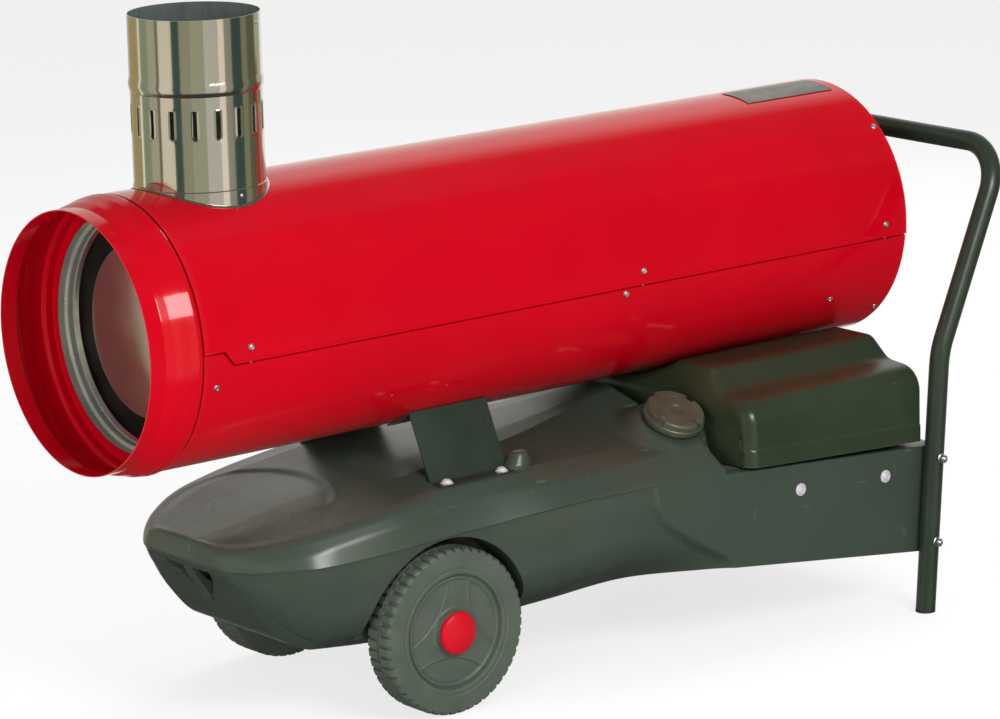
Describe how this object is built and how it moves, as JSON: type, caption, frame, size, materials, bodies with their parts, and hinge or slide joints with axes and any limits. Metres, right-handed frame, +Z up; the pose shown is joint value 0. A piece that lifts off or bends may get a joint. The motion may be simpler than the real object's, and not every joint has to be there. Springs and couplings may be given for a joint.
{
  "type": "indirect-fired oil heater",
  "caption": "Wheeled oil heater: round red barrel with a front air outlet and a slotted flue, over a moulded fuel tank with rear controls and a tubular push handle.",
  "frame": {"origin": "on the floor, at the middle of the heater's length and width", "axes": "-X towards the air outlet, +X towards the push handle, -Y towards the side with the filler cap, +Z up"},
  "size_m": [1.232, 0.5418, 0.835],
  "materials": {
    "red_paint": "gloss red enamel on steel sheet",
    "black_paint": "satin black enamel",
    "bright_steel": "plain steel, lightly brushed",
    "stainless": "polished stainless steel",
    "dark_heat_steel": "heat-darkened steel",
    "tank_plastic": "moulded dark green-grey polyethylene, slight sheen",
    "cover_plastic": "moulded near-black plastic, satin gloss",
    "cap_plastic": "grey-brown moulded plastic",
    "wheel_plastic": "black moulded plastic",
    "red_plastic": "gloss red plastic",
    "zinc_plated": "bright zinc plate",
    "black_rubber": "black rubber",
    "cast_aluminium": "cast aluminium",
    "brass": "machined brass",
    "white_ceramic": "glazed white ceramic",
    "plate_metal": "bare satin aluminium plate"
  },
  "bodies": {
    "chassis": {"upper_shell": "red_paint", "lower_shell": "red_paint", "shell_screws": "zinc_plated", "outlet_ring": "red_paint", "front_baffle": "red_paint", "inner_liner": "bright_steel", "liner_ring": "stainless", "heat_exchanger": "dark_heat_steel", "combustion_chamber": "dark_heat_steel", "drum_supports": "bright_steel", "flue_spigot": "dark_heat_steel", "flue_collar": "stainless", "flue_lower": "stainless", "flue_upper": "stainless", "burner_housing": "black_paint", "nozzle_holder": "brass", "diffuser_disc": "dark_heat_steel", "electrodes": "white_ceramic", "photocell": "black_paint", "ignition_transformer": "black_paint", "ignition_leads": "black_rubber", "fuel_pump": "cast_aluminium", "solenoid_valve": "black_paint", "nozzle_pipe": "brass", "motor_body": "cast_aluminium", "motor_bracket": "bright_steel", "rear_grille": "black_paint", "fuel_tank": "tank_plastic", "drain_plug": "brass", "filler_strainer": "cap_plastic", "fuel_lines": "black_rubber", "fuel_filter": "cap_plastic", "control_cover": "cover_plastic", "control_panel": "black_paint", "thermostat_socket": "cover_plastic", "cable_gland": "wheel_plastic", "burner_control": "wheel_plastic", "wiring_loom": "black_rubber", "line_grommets": "black_rubber", "handle_frame": "black_paint", "foot_plugs": "black_rubber", "frame_bolts": "zinc_plated", "axle": "zinc_plated", "axle_clips": "zinc_plated", "axle_spacers": "wheel_plastic", "hub_caps": "red_plastic", "front_brackets": "black_paint", "rear_bracket": "black_paint", "bracket_bolts": "zinc_plated", "data_plate": "plate_metal"},
    "wheel_left_body": {"wheel_left": "wheel_plastic"},
    "wheel_right_body": {"wheel_right": "wheel_plastic"},
    "rotor": {"motor_shaft": "bright_steel", "pump_coupling": "black_rubber", "main_fan": "cast_aluminium"},
    "cap_seal": {"cap_gasket": "black_rubber"},
    "filler_cap": {"fuel_cap": "cap_plastic"},
    "selector": {"selector_switch": "wheel_plastic"},
    "button": {"reset_button": "red_plastic"},
    "damper": {"air_damper": "bright_steel"}
  },
  "joints": [
    {"name": "wheel_left_spin", "type": "hinge", "parent": "chassis", "child": "wheel_left_body", "pos_m": [-0.226, -0.1636, 0.1], "axis": [0, 1, 0], "continuous": true},
    {"name": "wheel_right_spin", "type": "hinge", "parent": "chassis", "child": "wheel_right_body", "pos_m": [-0.226, 0.1636, 0.1], "axis": [0, 1, 0], "continuous": true},
    {"name": "rotor_spin", "type": "hinge", "parent": "chassis", "child": "rotor", "pos_m": [0.4, 0, 0.4775], "axis": [1, 0, 0], "continuous": true},
    {"name": "cap_turn", "type": "hinge", "parent": "cap_seal", "child": "filler_cap", "pos_m": [0.1325, -0.165, 0.3], "axis": [0, -0.4695, 0.8829], "range_deg": [0, 720]},
    {"name": "cap_lift", "type": "slide", "parent": "chassis", "child": "cap_seal", "axis": [0, -0.4695, 0.8829], "range_m": [0, 0.0121]},
    {"name": "selector_turn", "type": "hinge", "parent": "chassis", "child": "selector", "pos_m": [0.47, 0.046, 0.26455], "axis": [1, 0, 0], "range_deg": [-60, 60]},
    {"name": "button_press", "type": "slide", "parent": "chassis", "child": "button", "axis": [-1, 0, 0], "range_m": [0, 0.003], "stiffness_N_per_m": 400, "springref_m": -0.001},
    {"name": "damper_turn", "type": "hinge", "parent": "chassis", "child": "damper", "pos_m": [0.092, 0, 0.4775], "axis": [1, 0, 0], "range_deg": [0, 25]}
  ],
  "couplings": [
    {"joint": "cap_lift", "follows": "cap_turn", "m_per_rad": 0.00095493}
  ]
}
